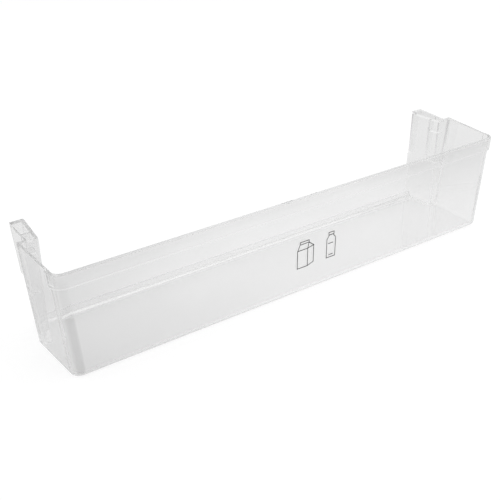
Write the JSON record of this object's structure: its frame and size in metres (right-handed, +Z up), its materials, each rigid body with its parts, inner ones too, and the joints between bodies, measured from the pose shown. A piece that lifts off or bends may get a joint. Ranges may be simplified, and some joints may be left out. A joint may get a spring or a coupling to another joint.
{
  "type": "fridge door shelf",
  "caption": "Clear moulded tray that hangs inside a refrigerator door, open at the rear, with a banded front rim, stepped end walls and hanger pockets.",
  "frame": {"origin": "middle of the underside: halfway along the length, and halfway between the face of the front rim band and the rear edges of the bay walls", "axes": "+X along the shelf to the right as seen from the front, +Y from the front wall to the rear towards the door, +Z up"},
  "size_m": [0.4802, 0.097, 0.0995],
  "materials": {
    "clear_plastic": "clear polished moulding"
  },
  "bodies": {
    "root": {"door_shelf": "clear_plastic"}
  },
  "joints": []
}
